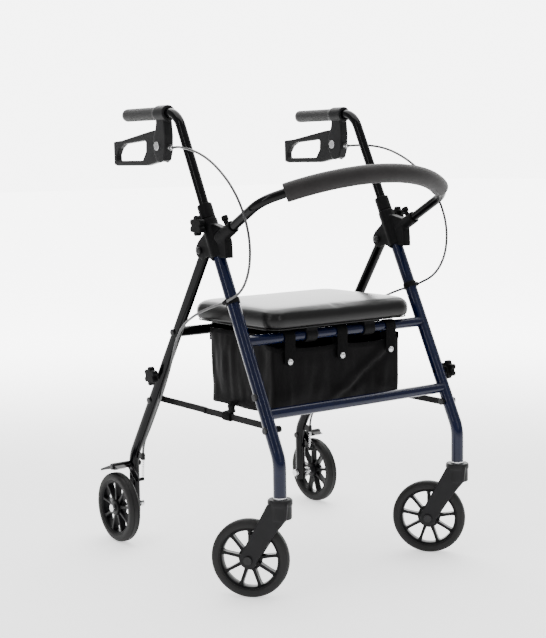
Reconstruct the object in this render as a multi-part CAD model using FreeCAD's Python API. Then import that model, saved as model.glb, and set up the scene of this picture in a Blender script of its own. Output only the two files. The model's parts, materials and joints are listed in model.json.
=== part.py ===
import FreeCAD
import Part
import math
import os

# Four-wheel folding walker with a seat, a bag, hand brakes and a backrest.
# Millimetres, +Z up, -Y is the front (caster) end, X runs across.
# The parts are drawn about the middle plane x = 0 with the caster stems on y = 0;
# ORIGIN is where the floor point under the middle of the overall box lies in that drawing frame.

V = FreeCAD.Vector
ORIGIN = V(-15.48, 275.02, 0.0)

# ---- driving dimensions -------------------------------------------------------------------
SIDE_X = 231.5            # middle plane of each side frame
FRONT_R = 12.7            # front leg tube, 25.4 mm
REAR_R = 11.1             # rear leg tube, 22.2 mm
WALL = 1.5                # tube wall
BAR_R = 10.5              # crossbars, 21 mm
HANDLE_R = 10.0           # handle tube, 20 mm
GAP = 0.3                 # free space between bodies that move past each other
RUN_FIT = 0.05            # radial clearance of a pin in its hole

FRONT_LEAN = math.radians(26.4)     # front leg from the vertical, top towards the rear
REAR_LEAN = math.radians(33.1)      # rear leg from the vertical, top towards the front
FRONT_FOOT_Z = 197.4      # lower end of the front leg
FRONT_BEND_Z = 266.7      # where the front leg starts to lean
FRONT_TOP_Z = 716.0
REAR_Y = 536.0            # rear axle line
REAR_FOOT_Z = 60.0
REAR_BEND_Z = 184.5

FOLD_Z = 652.0            # height of the pivot that the rear frame folds about

UPPER_BAR_Z = 481.7
LOWER_BAR_Z = 348.0
REAR_BAR_Z = 478.0

BRACE_X = 213.5           # middle of the folding side braces
BRACE_FRONT_Z = 321.0
BRACE_REAR_Z = 322.0
BRACE_MID_Y = 275.0       # knee of the brace when it is straight
BRACE_T = 2.6             # thickness of each brace bar
BRACE_H = 13.0            # height of each brace bar
BRACE_SPLIT = 0.2         # half the space between the two bars

WHEEL_R = 76.2            # 6 inch wheels
WHEEL_W = 25.0
RIM_R = 60.0
HUB_R = 17.0
SPOKES = 9
REAR_WHEEL_X = 273.4
TRAIL = 59.5              # caster trail
CASTER_TURN = 129.0       # where the trail points, degrees from +X

HANDLE_Z = 925.3          # axis of the grips
HANDLE_BEND_R = 50.0
HANDLE_IN_Z = 596.0       # lower end of the handle tube, inside the leg
GRIP_Y0 = 395.4
GRIP_Y1 = 523.8
GRIP_R = 13.5
LEVER_Y = 390.0           # brake lever pivot
LEVER_Z = 859.0
LEVER_T = 14.0

KNOB_R = 20.0
KNOB_T = 12.0
HEIGHT_KNOB_Z = 702.0
LEG_KNOB_Z = 381.0

BACK_TILT = math.radians(28.8)      # slope of the plane that the backrest lies in
BACK_START_Y = 150.0
BACK_START_Z = 693.0
BACK_R = 9.5              # backrest tube, 19 mm
BACK_BEND_R = 60.0
BACK_ARC_R = 317.0
BACK_DEPTH = 221.0        # from the tube's ends to its middle, in its plane
BACK_HALF = 234.0         # half the distance between the backrest's arms
PAD_R = 18.5
PAD_HALF = 197.0

SEAT_HALF = 190.0
SEAT_Y0 = 76.0
SEAT_Y1 = 370.0
SEAT_Z = 500.0            # underside of the seat board
BOARD_T = 8.0
PAD_T = 30.0
SEAT_CORNER = 32.0

BAG_HALF = 172.0
BAG_Y0 = 101.0
BAG_Y1 = 333.0
BAG_Z0 = 329.0
BAG_Z1 = 466.0            # front rim
BAG_SIDE_Z = 486.0        # rim at the sides and the back
BAG_SIDE_Y = 122.0        # front ends of the raised sides
BAG_T = 3.0
BAG_BAND_Z = 430.0        # top of the tub; the band above it folds with the frame
BAG_TAPER = 2.0
STRAP_T = 1.6

SHOE_Y = 536.0            # rear brake pivot
SHOE_Z = 168.0
CABLE_R = 2.5
STOP_Y = 497.0            # where the cable's housing ends, in front of the rear leg
STOP_Z = 196.0
CLIP_Z = 556.0            # cable clip on the front leg
STEM_R = 6.0
HINGE_X = (-75.0, 75.0)   # seat hinges and rests
STRAP_X = (-134.0, -1.5, 124.0)     # hanging straps of the bag

NODES = {}


# ---- helpers ------------------------------------------------------------------------------
def rod(a, b, r):
    """Solid cylinder from point a to point b."""
    return Part.makeCylinder(r, (b - a).Length, a, b - a)


def ring(a, b, outer, inner):
    """Straight sleeve from a to b."""
    way = (b - a).normalize()
    return rod(a, b, outer).cut(rod(a - way, b + way, inner))


def along_x(y, z, x0, x1, r):
    """Solid cylinder parallel to X."""
    return rod(V(x0, y, z), V(x1, y, z), r)


def rounded_path(points, radii):
    """Straight runs through the points with a tangent arc at each inner point."""
    edges = []
    start = points[0]
    for i in range(1, len(points) - 1):
        corner = points[i]
        back = (points[i - 1] - corner).normalize()
        ahead = (points[i + 1] - corner).normalize()
        half = back.getAngle(ahead) / 2
        reach = radii[i - 1] / math.tan(half)
        p = corner + back * reach
        q = corner + ahead * reach
        middle = (back + ahead).normalize()
        mid = corner + middle * (radii[i - 1] / math.sin(half) - radii[i - 1])
        edges.append(Part.LineSegment(start, p).toShape())
        edges.append(Part.Arc(p, mid, q).toShape())
        start = q
    edges.append(Part.LineSegment(start, points[-1]).toShape())
    return Part.Wire(edges)


def swept(wire, r):
    """Solid of circular section along a wire of lines and tangent arcs."""
    first = wire.Edges[0]
    way = first.tangentAt(first.FirstParameter)
    if (first.valueAt(first.FirstParameter) - wire.OrderedVertexes[0].Point).Length > 0.01:
        way = way * -1
    circle = Part.Wire([Part.makeCircle(r, wire.OrderedVertexes[0].Point, way)])
    return wire.makePipeShell([circle], True, False)


def bent_tube(points, radii, outer, inner):
    """Hollow tube with bends."""
    wire = rounded_path(points, radii)
    return swept(wire, outer).cut(swept(wire, inner))


def slab(outline, x0, x1):
    """Polygon in the YZ plane, extruded from x0 to x1."""
    pts = [V(x0, y, z) for y, z in outline]
    face = Part.Face(Part.makePolygon(pts + [pts[0]]))
    return face.extrude(V(x1 - x0, 0, 0))


def plate(x0, x1, y0, y1, z0, z1, corner):
    """Flat block with rounded vertical corners."""
    block = Part.makeBox(x1 - x0, y1 - y0, z1 - z0, V(x0, y0, z0))
    upright = [e for e in block.Edges if abs(e.tangentAt(e.FirstParameter).z) > 0.99]
    return block.makeFillet(corner, upright)


def fuse(first, *others):
    """One solid from pieces that overlap."""
    return first.multiFuse(list(others)).removeSplitter()


def mirrored(shape):
    return shape.mirror(V(0, 0, 0), V(1, 0, 0))


def add(name, *solids):
    """Keep a node made of one or more separate solids."""
    parts = []
    for s in solids:
        parts.extend(s.Solids)
    NODES[name] = parts[0] if len(parts) == 1 else Part.makeCompound(parts)


def add_pair(name, *solids):
    """A left-hand node and its mirror image; the left side is -X."""
    add(name + "_left", *solids)
    add(name + "_right", *[mirrored(s) for s in solids])


def front_axis(z, x=-SIDE_X):
    """Point on the left front leg's leaning axis at height z."""
    return V(x, (z - FRONT_BEND_Z) * math.tan(FRONT_LEAN), z)


def rear_axis(z, x=-SIDE_X):
    """Point on the left rear leg's leaning axis at height z."""
    return V(x, REAR_Y - (z - REAR_BEND_Z) * math.tan(REAR_LEAN), z)


def leg_way():
    """Unit vector up the front leg."""
    return V(0, math.sin(FRONT_LEAN), math.cos(FRONT_LEAN))


FOLD_Y = rear_axis(FOLD_Z).y
BRACE_FRONT = front_axis(BRACE_FRONT_Z, -BRACE_X)
BRACE_REAR = rear_axis(BRACE_REAR_Z, -BRACE_X)


def back_point(x, w, lift=0.0):
    """Point of the backrest's tilted plane, w from the tube's ends."""
    return V(
        x,
        BACK_START_Y - w * math.cos(BACK_TILT) + lift * math.sin(BACK_TILT),
        BACK_START_Z + w * math.sin(BACK_TILT) + lift * math.cos(BACK_TILT),
    )


# ---- front frame --------------------------------------------------------------------------
def front_leg():
    top = front_axis(FRONT_TOP_Z)
    points = [V(-SIDE_X, 0, FRONT_FOOT_Z), V(-SIDE_X, 0, FRONT_BEND_Z), top]
    leg = bent_tube(points, [70.0], FRONT_R, FRONT_R - WALL)
    plug = rod(points[0], points[0] + V(0, 0, 34), FRONT_R - WALL)
    leg = leg.fuse(plug).removeSplitter()
    leg = leg.cut(rod(points[0] - V(0, 0, 1), points[0] + V(0, 0, 40), STEM_R))
    for z in (HEIGHT_KNOB_Z, LEG_KNOB_Z, BRACE_FRONT_Z):
        p = front_axis(z)
        x_far = -SIDE_X - 20 if z > 600 else -SIDE_X + 20
        x_near = -SIDE_X if z > 600 else -SIDE_X - 20
        leg = leg.cut(along_x(p.y, p.z, min(x_far, x_near), max(x_far, x_near), 4.0))
    return leg


def crossbar(y, z, leg_r, lean):
    """Bar between two legs, its ends cut to their tubes."""
    bar = ring(V(-SIDE_X, y, z), V(SIDE_X, y, z), BAR_R, BAR_R - WALL)
    for side in (-1, 1):
        way = V(0, math.sin(lean), math.cos(lean)) * 40
        p = V(side * SIDE_X, y, z)
        bar = bar.cut(rod(p - way, p + way, leg_r))
    return bar


def frame_bracket():
    """Moulded Y-shaped joint: leg sleeve, backrest socket and the fold pivot's fork."""
    half = REAR_R + 0.6 + 4.2
    pivot = V(-SIDE_X, FOLD_Y, FOLD_Z)
    sleeve = rod(front_axis(640), front_axis(712), 17.0)
    socket = rod(back_point(-BACK_HALF, -34), back_point(-BACK_HALF, 20), 13.0)
    front_web = slab([(150, 640), (190, 640), (212, 700), (195, 706), (164, 699), (152, 672)],
                     -SIDE_X - 9, -SIDE_X + 9)
    neck = slab([(185, 632), (205, 641), (226, 634), (246, 650), (240, 668), (222, 682), (206, 700)],
                -SIDE_X - half, -SIDE_X + half)
    neck = neck.fuse(along_x(pivot.y, pivot.z, -SIDE_X - half, -SIDE_X + half, 16.0))
    body = fuse(sleeve, socket, front_web, neck)
    # bore for the front leg
    body = body.cut(rod(front_axis(600), front_axis(760), FRONT_R))
    # bore for the backrest tube
    body = body.cut(rod(back_point(-BACK_HALF, -30), back_point(-BACK_HALF, 40), BACK_R + GAP))
    # slot in which the rear leg swings
    side = V(0, math.cos(FRONT_LEAN), -math.sin(FRONT_LEAN))
    base = front_axis(FOLD_Z) + side * 17.6
    slot_half = REAR_R + 0.6
    corners = [base - leg_way() * 90, base + leg_way() * 8]
    corners.append(corners[1] + side * 80)
    corners.append(corners[0] + side * 80)
    slot = slab([(c.y, c.z) for c in corners], -SIDE_X - slot_half, -SIDE_X + slot_half)
    slot = slot.fuse(along_x(pivot.y, pivot.z, -SIDE_X - slot_half, -SIDE_X + slot_half, 17.4))
    body = body.cut(slot)
    # holes for the pivot bolt and for the height knob's screw
    body = body.cut(along_x(pivot.y, pivot.z, -SIDE_X - 30, -SIDE_X + 30, 4.0))
    knob = front_axis(HEIGHT_KNOB_Z)
    body = body.cut(along_x(knob.y, knob.z, -SIDE_X - 30, -SIDE_X, 4.0))
    # hole for the backrest's plunger
    top = back_point(-BACK_HALF, 2, 40)
    return body.cut(rod(back_point(-BACK_HALF, 2), top, 2.3))


def ferrule():
    """Collar that guides the handle tube at the top of the leg."""
    low = front_axis(713)
    mid = front_axis(FRONT_TOP_Z)
    top = front_axis(741)
    collar = rod(low, top, 15.2).cut(rod(low - leg_way(), mid, FRONT_R))
    lip = ring(front_axis(700), mid, FRONT_R - WALL, HANDLE_R + GAP)
    collar = collar.cut(rod(mid - leg_way(), top + leg_way(), HANDLE_R + GAP))
    collar = collar.fuse(lip)
    knob = front_axis(HEIGHT_KNOB_Z)
    return collar.cut(along_x(knob.y, knob.z, -SIDE_X - 30, -SIDE_X, 4.3))


def caster_stem():
    """Steel stem pressed into the leg, with its bearing washer under the leg's end."""
    foot = V(-SIDE_X, 0, FRONT_FOOT_Z)
    stem = rod(V(-SIDE_X, 0, 158), V(-SIDE_X, 0, FRONT_FOOT_Z + 30), STEM_R)
    washer = rod(foot - V(0, 0, 3.2), foot - V(0, 0, GAP / 3), 13.5)
    return stem.fuse(washer).removeSplitter()


def bolt(y, z, x0, x1, r, head0, head1, thick=4.0):
    """Bolt along X with a domed head at each end that has a radius."""
    body = along_x(y, z, x0, x1, r)
    if head0:
        body = body.fuse(along_x(y, z, x0 - thick, x0, head0))
    if head1:
        body = body.fuse(along_x(y, z, x1, x1 + thick, head1))
    body = body.removeSplitter()
    rims = [e for e in body.Edges if e.Curve.TypeId == "Part::GeomCircle"]
    ends = [e for e in rims if abs(e.Curve.Center.x - (x0 - thick)) < 0.01 and head0]
    ends += [e for e in rims if abs(e.Curve.Center.x - (x1 + thick)) < 0.01 and head1]
    return body.makeFillet(thick * 0.45, ends) if ends else body


def front_frame():
    add_pair("front_leg", front_leg())
    add("upper_crossbar", crossbar(front_axis(UPPER_BAR_Z).y, UPPER_BAR_Z, FRONT_R, FRONT_LEAN))
    add("lower_crossbar", crossbar(front_axis(LOWER_BAR_Z).y, LOWER_BAR_Z, FRONT_R, FRONT_LEAN))
    add_pair("frame_bracket", frame_bracket())
    left = ferrule()
    stem = caster_stem()
    add("caster_stems", stem, mirrored(stem))
    half = REAR_R + 0.6 + 4.2
    pivot = bolt(FOLD_Y, FOLD_Z, -SIDE_X - half, -SIDE_X + half, 4.0, 7.0, 7.0, 5.0)
    p = front_axis(BRACE_FRONT_Z)
    pin = bolt(p.y, p.z, -SIDE_X - 12.8, -BRACE_X + 2.0, 4.0, 7.0, 6.5, 3.0)
    q = front_axis(LEG_KNOB_Z)
    screw = bolt(q.y, q.z, -SIDE_X - 12.8, -SIDE_X, 4.0, 7.0, None, 4.0)
    add("front_frame_bolts", pivot, mirrored(pivot), pin, mirrored(pin), screw)
    clip_at = front_axis(CLIP_Z)
    clip = ring(clip_at - leg_way() * 6, clip_at + leg_way() * 6, FRONT_R + 1.8, FRONT_R)
    eye = ring(clip_at + V(-17.6, -5, 3), clip_at + V(-17.6, 5, -2), CABLE_R + 2.0, CABLE_R + 0.2)
    clip = clip.fuse(eye).removeSplitter()
    add("leg_collars", left, mirrored(left), clip, mirrored(clip))


# ---- rear frame ---------------------------------------------------------------------------
def rear_leg():
    top = rear_axis(FOLD_Z + 11)
    points = [V(-SIDE_X, REAR_Y, REAR_FOOT_Z), V(-SIDE_X, REAR_Y, REAR_BEND_Z), top]
    leg = bent_tube(points, [70.0], REAR_R, REAR_R - WALL)
    way = (top - rear_axis(REAR_BEND_Z)).normalize()
    leg = leg.fuse([rod(top - way * 24, top, REAR_R - WALL),
                    rod(points[0], points[0] + V(0, 0, 36), REAR_R - WALL)]).removeSplitter()
    leg = leg.cut(along_x(FOLD_Y, FOLD_Z, -SIDE_X - 30, -SIDE_X + 30, 4.0 + RUN_FIT))
    leg = leg.cut(along_x(REAR_Y, WHEEL_R, -SIDE_X - 30, -SIDE_X + 30, 5.0))
    leg = leg.cut(along_x(SHOE_Y, SHOE_Z, -SIDE_X - 30, -SIDE_X + 30, 4.0))
    for z in (BRACE_REAR_Z, LEG_KNOB_Z, REAR_BAR_Z):
        p = rear_axis(z)
        leg = leg.cut(along_x(p.y, p.z, -SIDE_X - 30, -SIDE_X + 30, 4.0))
    return leg


def cable_stop():
    """Small bracket in front of the rear leg that anchors the brake cable's housing."""
    low = STOP_Z - 14
    arm = Part.makeBox(3.0, 42.0, 14.0, V(-SIDE_X - 1.5, STOP_Y - 4, low))
    barrel = rod(V(-SIDE_X, STOP_Y, low), V(-SIDE_X, STOP_Y, STOP_Z), 4.6)
    body = fuse(arm, barrel)
    body = body.cut(rod(V(-SIDE_X, STOP_Y, low - 1), V(-SIDE_X, STOP_Y, STOP_Z - 6), 1.4))
    body = body.cut(rod(V(-SIDE_X, STOP_Y, STOP_Z - 6), V(-SIDE_X, STOP_Y, STOP_Z + 6),
                        CABLE_R + 0.1))
    leg = rounded_path([V(-SIDE_X, REAR_Y, 40), V(-SIDE_X, REAR_Y, REAR_BEND_Z), rear_axis(420)],
                       [70.0])
    return body.cut(swept(leg, REAR_R))


def rear_frame():
    add_pair("rear_leg", rear_leg())
    bar_y = rear_axis(REAR_BAR_Z).y
    add("rear_crossbar", crossbar(bar_y, REAR_BAR_Z, REAR_R, -REAR_LEAN))
    stop = cable_stop()
    add("cable_stops", stop, mirrored(stop))
    axle = along_x(REAR_Y, WHEEL_R, -REAR_WHEEL_X - 15, -SIDE_X + 16, 5.0)
    head = along_x(REAR_Y, WHEEL_R, -REAR_WHEEL_X - 19, -REAR_WHEEL_X - 14, 8.0)
    nut = along_x(REAR_Y, WHEEL_R, -SIDE_X + REAR_R + 0.1, -SIDE_X + 19, 8.0)
    spacer = along_x(REAR_Y, WHEEL_R, -REAR_WHEEL_X + 14.0, -SIDE_X - REAR_R - 0.1, 8.0)
    axle = fuse(axle, head, nut, spacer)
    add("rear_axles", axle, mirrored(axle))
    p = rear_axis(BRACE_REAR_Z)
    pin = bolt(p.y, p.z, -SIDE_X - 11.2, -BRACE_X + 4.8, 4.0, 7.0, 6.5, 3.0)
    b = rear_axis(REAR_BAR_Z)
    cap = bolt(b.y, b.z, -SIDE_X - 11.2, -SIDE_X + 11.2, 4.0, 7.0, None, 4.0)
    shoe_pin = bolt(SHOE_Y, SHOE_Z, -REAR_WHEEL_X - 13.5, -SIDE_X + 11.3, 4.0, 7.0, 7.0, 3.0)
    groups = [pin, cap, shoe_pin]
    add("rear_frame_bolts", *(groups + [mirrored(g) for g in groups]))


# ---- folding braces -----------------------------------------------------------------------
def brace_bar(a, b, x0, x1, hole_r):
    """Flat bar with round ends from its pin at a to the knee at b."""
    bar = fuse(along_x(a.y, a.z, x0, x1, BRACE_H / 2), along_x(b.y, b.z, x0, x1, BRACE_H / 2))
    way = (b - a).normalize()
    up = V(0, -way.z, way.y) * (BRACE_H / 2)
    pts = [a + up, b + up, b - up, a - up]
    bar = fuse(bar, slab([(p.y, p.z) for p in pts], x0, x1))
    return bar.cut(along_x(a.y, a.z, x0 - 1, x1 + 1, hole_r))


def braces():
    a = BRACE_FRONT
    b = BRACE_REAR
    share = (BRACE_MID_Y - a.y) / (b.y - a.y)
    knee = a + (b - a) * share
    x = -BRACE_X
    outer = x - BRACE_SPLIT - BRACE_T
    inner = x + BRACE_SPLIT + BRACE_T
    # the knee rivet is two half rivets, one on each bar, so that the bars part freely
    front_bar = brace_bar(a, knee, outer, outer + BRACE_T, 4.0 + RUN_FIT)
    front_bar = fuse(front_bar, along_x(knee.y, knee.z, outer - 2.0, outer, 5.4))
    rear_bar = brace_bar(b, knee, inner - BRACE_T, inner, 4.0 + RUN_FIT)
    rear_bar = fuse(rear_bar, along_x(knee.y, knee.z, inner, inner + 2.0, 5.4))
    add_pair("brace_front", front_bar)
    add_pair("brace_rear", rear_bar)


# ---- wheels and casters -------------------------------------------------------------------
def wheel_rim():
    """Nine-spoke rim centred on the origin, axle along X."""
    w = WHEEL_W / 2
    rim = ring(V(-w + 2.5, 0, 0), V(w - 2.5, 0, 0), RIM_R, RIM_R - 5.5)
    hub = along_x(0, 0, -w + 0.5, w - 0.5, HUB_R)
    web = ring(V(-2.0, 0, 0), V(2.0, 0, 0), HUB_R + 6, HUB_R - 2)
    pieces = [hub, web]
    for i in range(SPOKES):
        spoke = Part.makeBox(15.0, 7.0, RIM_R - HUB_R, V(-7.5, -3.5, HUB_R - 3))
        spoke.rotate(V(0, 0, 0), V(1, 0, 0), 360.0 / SPOKES * i)
        pieces.append(spoke)
    body = fuse(rim, *pieces)
    return body.cut(along_x(0, 0, -w - 1, w + 1, 5.0 + RUN_FIT))


def wheel_tyre():
    w = WHEEL_W / 2
    body = along_x(0, 0, -w, w, WHEEL_R)
    rims = [e for e in body.Edges if e.Curve.TypeId == "Part::GeomCircle"]
    body = body.makeFillet(8.0, rims)
    body = body.cut(along_x(0, 0, -w - 1, w + 1, RIM_R - 1.6))
    groove = ring(V(-w + 2.5, 0, 0), V(w - 2.5, 0, 0), RIM_R, RIM_R - 3)
    return body.cut(groove)


def caster_fork():
    """Two-armed caster fork about the stem axis, its wheel trailing along +X."""
    top = 193.9
    housing = rod(V(0, 0, 156), V(0, 0, top), 22.5)
    cap = rod(V(0, 0, 183), V(0, 0, top - 2), 24.0)
    body = housing.fuse(cap).removeSplitter()
    inner = WHEEL_W / 2 + 1.5
    arms = []
    for side in (-1, 1):
        y0 = inner if side > 0 else -inner - 6.0
        outline = [V(-19, y0, 188), V(21, y0, 186), V(40, y0, 150), V(TRAIL + 15, y0, 86),
                   V(TRAIL + 4, y0, 62), V(TRAIL - 12, y0, 66), V(8, y0, 128), V(-16, y0, 158)]
        arm = Part.Face(Part.makePolygon(outline + [outline[0]])).extrude(V(0, 6.0, 0))
        boss = rod(V(TRAIL, y0, WHEEL_R), V(TRAIL, y0 + 6.0, WHEEL_R), 17.0)
        arms.append(arm.fuse(boss))
    body = fuse(body, *arms)
    # clearance for the tyre, then the bores for stem and axle
    body = body.cut(rod(V(TRAIL, -inner, WHEEL_R), V(TRAIL, inner, WHEEL_R), WHEEL_R + 3.0))
    body = body.cut(rod(V(0, 0, 150), V(0, 0, 200), STEM_R + RUN_FIT))
    return body.cut(rod(V(TRAIL, -40, WHEEL_R), V(TRAIL, 40, WHEEL_R), 5.0))


def caster_axle():
    half = WHEEL_W / 2 + 7.5
    body = fuse(rod(V(TRAIL, -half - 2, WHEEL_R), V(TRAIL, half + 2, WHEEL_R), 5.0),
                rod(V(TRAIL, -half - 4, WHEEL_R), V(TRAIL, -half, WHEEL_R), 8.0),
                rod(V(TRAIL, half, WHEEL_R), V(TRAIL, half + 4, WHEEL_R), 8.0))
    return body


def casters_and_wheels():
    rim = wheel_rim()
    tyre = wheel_tyre()
    for side, sign in (("left", -1), ("right", 1)):
        stem = V(sign * SIDE_X, 0, 0)
        for name, shape in (("caster_fork", caster_fork()), ("caster_axle", caster_axle())):
            turned = shape.copy()
            turned.rotate(V(0, 0, 0), V(0, 0, 1), CASTER_TURN)
            turned.translate(stem)
            add(name + "_" + side, turned)
        for name, shape in (("rim", rim), ("tyre", tyre)):
            front = shape.copy()
            front.rotate(V(0, 0, 0), V(0, 0, 1), 90)
            front.translate(V(TRAIL, 0, WHEEL_R))
            front.rotate(V(0, 0, 0), V(0, 0, 1), CASTER_TURN)
            front.translate(stem)
            add("front_" + name + "_" + side, front)
            rear = shape.copy()
            rear.translate(V(sign * REAR_WHEEL_X, REAR_Y, WHEEL_R))
            add("rear_" + name + "_" + side, rear)


# ---- rear brake ---------------------------------------------------------------------------
def brake_shoe():
    """See-saw brake: the cable lifts its front end and the shoe comes down on the tyre."""
    x_in = -SIDE_X - REAR_R - 0.4
    hub = along_x(SHOE_Y, SHOE_Z, -REAR_WHEEL_X - 13.2, x_in, 7.5)
    x_out = -REAR_WHEEL_X - 13.2
    arm = slab([(516, 166), (536, 173), (566, 163), (590, 154), (589, 149), (566, 156.5),
                (545, 160.5), (528, 161)], x_out, -REAR_WHEEL_X + 13.0)
    link = slab([(531, 174), (541, 162), (509, 134), (496, 134), (496, 143)], x_in - 4.0, x_in)
    tab = rod(V(x_in - 2, 501.0, 138.5), V(-SIDE_X + 2.5, 501.0, 138.5), 4.2)
    body = fuse(hub, arm, link, tab)
    return body.cut(along_x(SHOE_Y, SHOE_Z, -320, -220, 4.0 + RUN_FIT))


def brake_spring():
    """Outer shape of the return spring between the cable stop and the shoe's front end."""
    low = V(-SIDE_X, 500.3, 144.0)
    high = V(-SIDE_X, STOP_Y + 0.2, STOP_Z - 14.6)
    return ring(low, high, 3.6, 2.2)


# ---- handles ------------------------------------------------------------------------------
def handle_tube():
    points = [front_axis(HANDLE_IN_Z), front_axis(HANDLE_Z), V(-SIDE_X, GRIP_Y1 - 4, HANDLE_Z)]
    return bent_tube(points, [HANDLE_BEND_R], HANDLE_R, HANDLE_R - WALL)


def grip():
    """Foam grip with a flared collar, a rounded end and shallow finger rings."""
    body = rod(V(-SIDE_X, GRIP_Y0, HANDLE_Z), V(-SIDE_X, GRIP_Y1, HANDLE_Z), GRIP_R)
    flare = rod(V(-SIDE_X, GRIP_Y0, HANDLE_Z), V(-SIDE_X, GRIP_Y0 + 6, HANDLE_Z), GRIP_R + 1.6)
    body = body.fuse(flare).removeSplitter()
    ends = [e for e in body.Edges if e.Curve.TypeId == "Part::GeomCircle"
            and abs(e.Curve.Center.y - GRIP_Y1) < 0.01]
    body = body.makeFillet(3.0, ends)
    return body.cut(rod(V(-SIDE_X, GRIP_Y0 - 1, HANDLE_Z), V(-SIDE_X, GRIP_Y1 - 4, HANDLE_Z), HANDLE_R))


def brake_housing():
    """Clamp collar on the handle tube with the brake lever's slotted housing under it."""
    collar = rod(V(-SIDE_X, 358.5, HANDLE_Z), V(-SIDE_X, GRIP_Y0 - 0.2, HANDLE_Z), 16.5)
    outline = [(362, 916), (394, 916), (394, 905), (397, 893), (403, 878), (405, 862),
               (403, 845), (394, 828), (380, 824), (367, 830), (360, 848), (358, 880)]
    body = slab(outline, -SIDE_X - 10.5, -SIDE_X + 10.5)
    nose = rod(V(-SIDE_X, 350, LEVER_Z - 4), V(-SIDE_X, 366, LEVER_Z - 4), 5.5)
    body = fuse(body, nose)
    edges = [e for e in body.Edges if e.Length > 4 and e.BoundBox.XLength < 0.01
             and e.Curve.TypeId == "Part::GeomLine"]
    body = body.makeFillet(2.4, edges)
    body = fuse(body, collar)
    body = body.cut(rod(V(-SIDE_X, 330, HANDLE_Z), V(-SIDE_X, 420, HANDLE_Z), HANDLE_R))
    slot_half = LEVER_T / 2 + GAP
    slot = Part.makeBox(slot_half * 2, 60, 84, V(-SIDE_X - slot_half, 376.0, 816))
    body = body.cut(slot)
    body = body.cut(rod(V(-SIDE_X, 340, LEVER_Z - 4), V(-SIDE_X, 362, LEVER_Z - 4), CABLE_R + 0.7))
    return body.cut(along_x(LEVER_Y, LEVER_Z, -SIDE_X - 20, -SIDE_X + 20, 3.0))


def brake_lever():
    """Closed loop lever, squeezed up towards the grip."""
    x0 = -SIDE_X - LEVER_T / 2
    x1 = -SIDE_X + LEVER_T / 2
    outer = [(392, 893), (424, 890), (540, 873), (574, 871), (573, 822), (560, 819), (440, 819),
             (396, 826)]
    inner = [(440, 868), (446, 871), (532, 865), (550, 856), (561, 842), (560, 830), (455, 830),
             (441, 848)]
    loop = slab(outer, x0, x1).cut(slab(inner, x0 - 1, x1 + 1))
    corners = [e for e in loop.Edges if abs(abs(e.tangentAt(e.FirstParameter).x) - 1) < 1e-6]
    loop = loop.makeFillet(3.0, corners)
    rims = [e for e in loop.Edges if e.BoundBox.XLength < 0.01]
    loop = loop.makeFillet(2.0, rims)
    hub = along_x(LEVER_Y, LEVER_Z, x0, x1, 11.5)
    body = fuse(loop, hub)
    return body.cut(along_x(LEVER_Y, LEVER_Z, x0 - 1, x1 + 1, 3.0 + RUN_FIT))


def lever_pin():
    return bolt(LEVER_Y, LEVER_Z, -SIDE_X - 10.6, -SIDE_X + 10.6, 3.0, 9.0, 9.0, 2.2)


# ---- knobs --------------------------------------------------------------------------------
def star_knob(y, z, x_face, x_tip, sign):
    """Six-lobed hand knob along X; x_face is its inner face and x_tip its screw's end."""
    x_out = x_face + sign * KNOB_T
    low, high = min(x_face, x_out), max(x_face, x_out)
    body = along_x(y, z, low, high, KNOB_R * 0.72)
    lobes = []
    for i in range(6):
        a = math.radians(60 * i + 30)
        lobes.append(along_x(y + KNOB_R * 0.7 * math.cos(a), z + KNOB_R * 0.7 * math.sin(a),
                             low, high, KNOB_R * 0.3))
    boss = along_x(y, z, min(x_face, x_face - sign * 5), max(x_face, x_face - sign * 5), 8.0)
    screw = along_x(y, z, min(x_tip, x_face), max(x_tip, x_face), 3.7)
    return fuse(body, boss, screw, *lobes)


def knobs():
    p = front_axis(HEIGHT_KNOB_Z)
    add_pair("height_knob", star_knob(p.y, p.z, -SIDE_X - 24.0, -SIDE_X - HANDLE_R - 0.5, -1))
    q = rear_axis(LEG_KNOB_Z)
    rear = star_knob(q.y, q.z, -SIDE_X - 22.0, -SIDE_X, -1)
    add("leg_knob_rear_left", rear)
    add("leg_knob_rear_right", mirrored(rear))
    f = front_axis(LEG_KNOB_Z)
    add("leg_knob_front_right", star_knob(f.y, f.z, SIDE_X + 22.0, SIDE_X, 1))


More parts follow.
